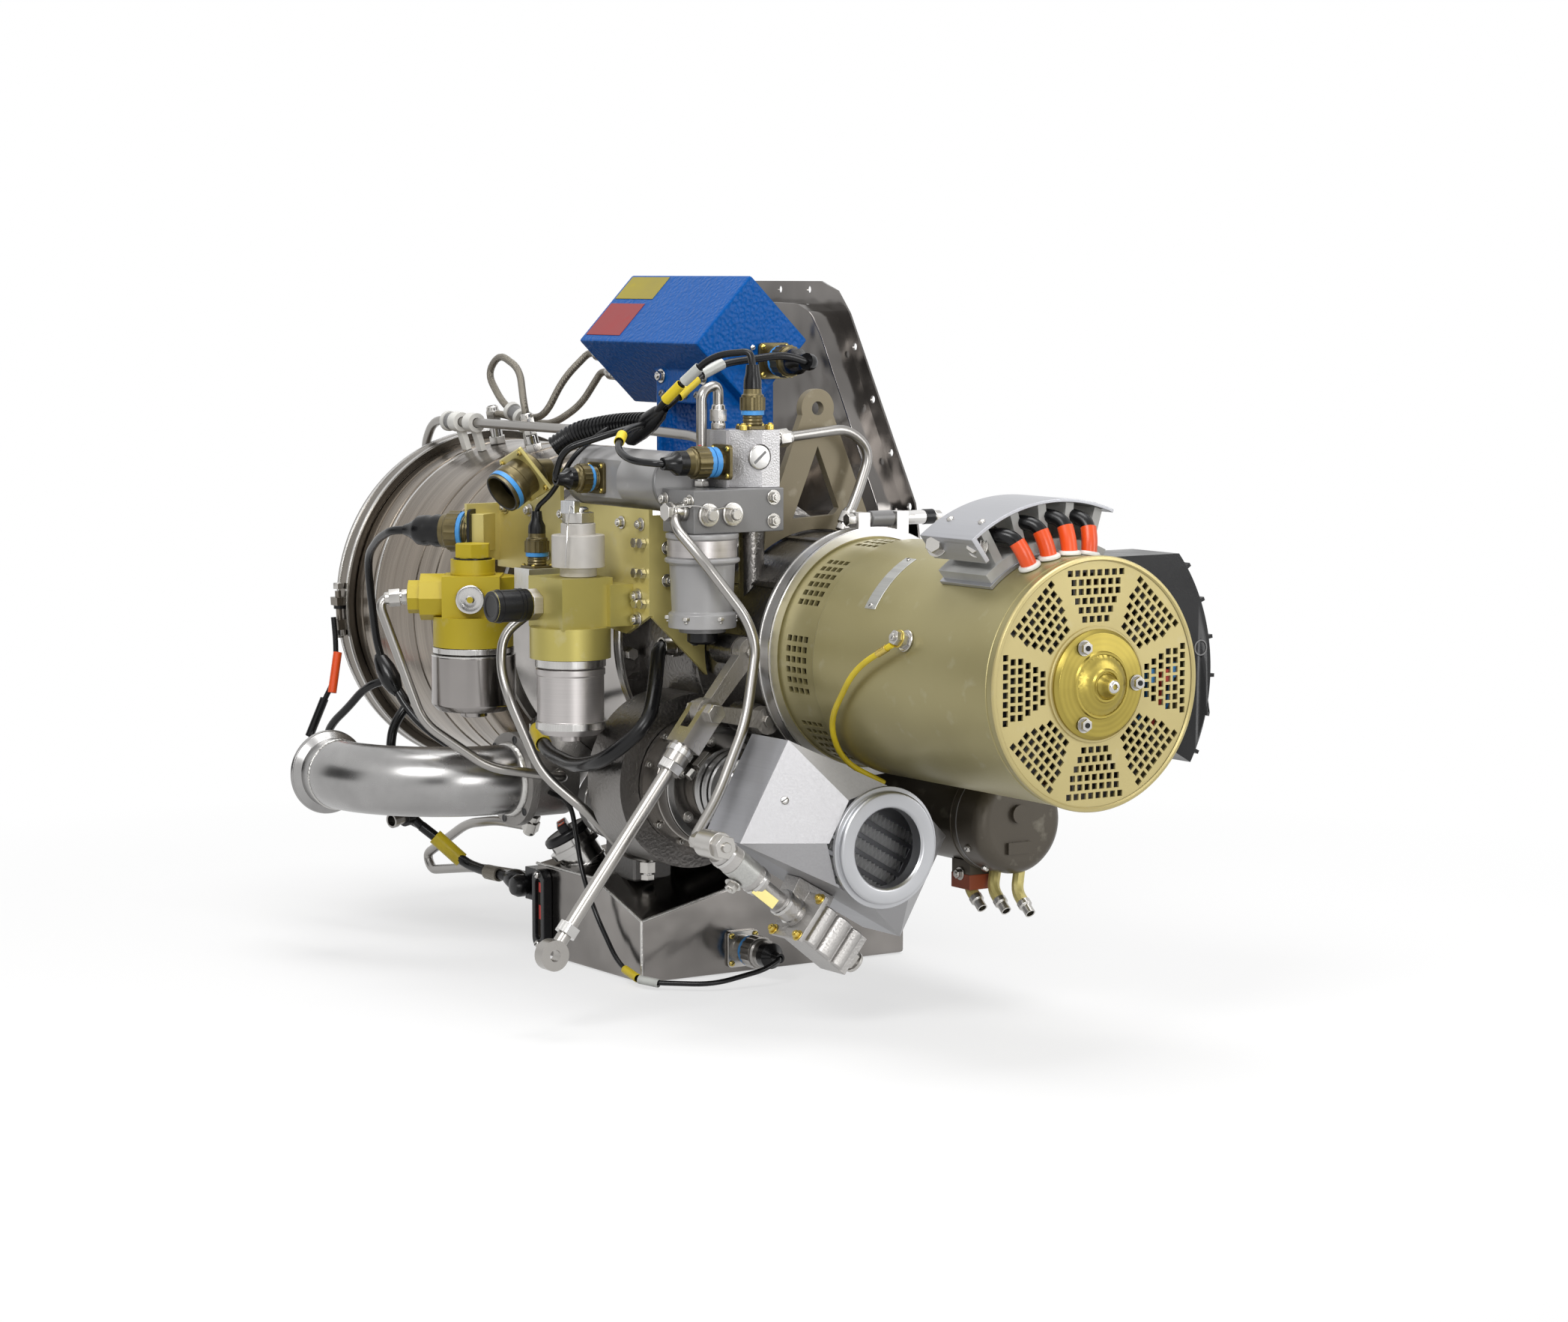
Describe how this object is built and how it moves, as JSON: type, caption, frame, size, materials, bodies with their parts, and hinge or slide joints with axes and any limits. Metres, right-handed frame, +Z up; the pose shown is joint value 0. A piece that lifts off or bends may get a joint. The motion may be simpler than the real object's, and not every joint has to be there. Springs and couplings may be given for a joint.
{
  "type": "auxiliary power unit",
  "caption": "Gas-turbine auxiliary power unit: combustor drum, gearbox, vented generator with perforated screen, starter, oil tank, oil cooler, filters, bleed duct and support strut.",
  "frame": {"origin": "centre of the exhaust outlet, in the plane of its rim, on the rotor axis", "axes": "+X along the rotor axis from the exhaust outlet to the generator screen, +Z up, -Y the side with the filters and the bleed duct"},
  "size_m": [1.084, 0.4946, 0.6231],
  "materials": {
    "black_plastic": "moulded",
    "black_rubber": "extruded",
    "blue_paint": "hammered blue",
    "braid": "braided",
    "bright_steel": "polished",
    "cast_alloy": "sand cast",
    "copper_iron": "varnished windings",
    "drum_steel": "spun sheet",
    "gear_steel": "ground",
    "gold_paint": "gold chromate",
    "grey_paint": "satin grey",
    "hot_steel": "heat-tinted sheet",
    "machined_alloy": "machined",
    "olive_paint": "chromate olive",
    "olive_plug": "olive drab",
    "orange_rubber": "moulded boots",
    "tan_paint": "satin tan",
    "white_plastic": "moulded",
    "yellow_lead": "insulated",
    "yellow_paint": "yellow chromate"
  },
  "bodies": {
    "unit": {"exhaust_duct": "hot_steel", "combustor_clamp": "bright_steel", "combustor_casing": "drum_steel", "combustor_liner": "hot_steel", "compressor_case": "cast_alloy", "inlet_plenum": "drum_steel", "gearbox_housing": "cast_alloy", "fan_scroll": "cast_alloy", "cooler_bellows": "bright_steel", "oil_cooler": "machined_alloy", "cooler_duct": "machined_alloy", "cooler_ring": "machined_alloy", "generator_clamp": "bright_steel", "generator_housing": "olive_paint", "generator_stator": "copper_iron", "end_bell": "cast_alloy", "generator_screen": "olive_paint", "hub_cover": "gold_paint", "terminal_block": "machined_alloy", "terminal_cover": "machined_alloy", "terminal_leads": "orange_rubber", "ground_lead": "yellow_lead", "air_scoop": "black_plastic", "starter_motor": "grey_paint", "oil_tank": "machined_alloy", "filler_neck": "bright_steel", "sight_gauge": "black_plastic", "bleed_valve": "cast_alloy", "bleed_duct": "bright_steel", "filter_bracket": "olive_paint", "fuel_filter_head": "yellow_paint", "fuel_filter_bowl": "grey_paint", "oil_filter_head": "olive_paint", "oil_filter_bowl": "machined_alloy", "pressure_switch": "white_plastic", "fuel_control": "cast_alloy", "manifold_block": "cast_alloy", "valve_block": "machined_alloy", "fuel_pump": "cast_alloy", "lug_plate": "tan_paint", "exciter_box": "blue_paint", "ignition_leads": "braid", "connectors": "olive_plug", "harness": "black_rubber", "steel_tubes": "bright_steel", "oil_hose": "black_rubber", "regulator": "cast_alloy", "tube_clips": "white_plastic", "strut_bracket": "cast_alloy", "fasteners": "bright_steel"},
    "generator_set": {"generator_rotor": "gear_steel", "output_gear": "gear_steel"},
    "engine_rotor": {"rotor_shaft": "gear_steel", "impeller": "machined_alloy", "turbine_wheel": "hot_steel"},
    "layshaft": {"lay_gear": "gear_steel"},
    "fan_set": {"fan_gear": "gear_steel", "cooling_fan": "machined_alloy"},
    "filler_cap": {"filler_cap": "black_plastic"},
    "support_strut": {"strut": "bright_steel"}
  },
  "joints": [
    {"name": "generator_spin", "type": "hinge", "parent": "unit", "child": "generator_set", "pos_m": [0, 0, 0], "axis": [1, 0, 0], "continuous": true},
    {"name": "rotor_spin", "type": "hinge", "parent": "unit", "child": "engine_rotor", "pos_m": [0, 0, 0], "axis": [1, 0, 0], "continuous": true},
    {"name": "layshaft_spin", "type": "hinge", "parent": "unit", "child": "layshaft", "pos_m": [0, 0, -0.072], "axis": [1, 0, 0], "continuous": true},
    {"name": "fan_spin", "type": "hinge", "parent": "unit", "child": "fan_set", "pos_m": [0, -0.10848, -0.11583], "axis": [1, 0, 0], "continuous": true},
    {"name": "cap_turn", "type": "hinge", "parent": "unit", "child": "filler_cap", "pos_m": [0.42345, -0.10819, -0.19214], "axis": [-0.2494, -0.449, 0.858], "range_deg": [0, 90]},
    {"name": "strut_swing", "type": "hinge", "parent": "unit", "child": "support_strut", "pos_m": [0.7251, -0.152, -0.045], "axis": [1, 0, 0], "range_deg": [-15, 15]}
  ],
  "couplings": [
    {"joint": "rotor_spin", "follows": "generator_spin", "ratio": 5},
    {"joint": "layshaft_spin", "follows": "generator_spin", "ratio": -1.6667},
    {"joint": "fan_spin", "follows": "generator_spin", "ratio": 1.4286}
  ]
}
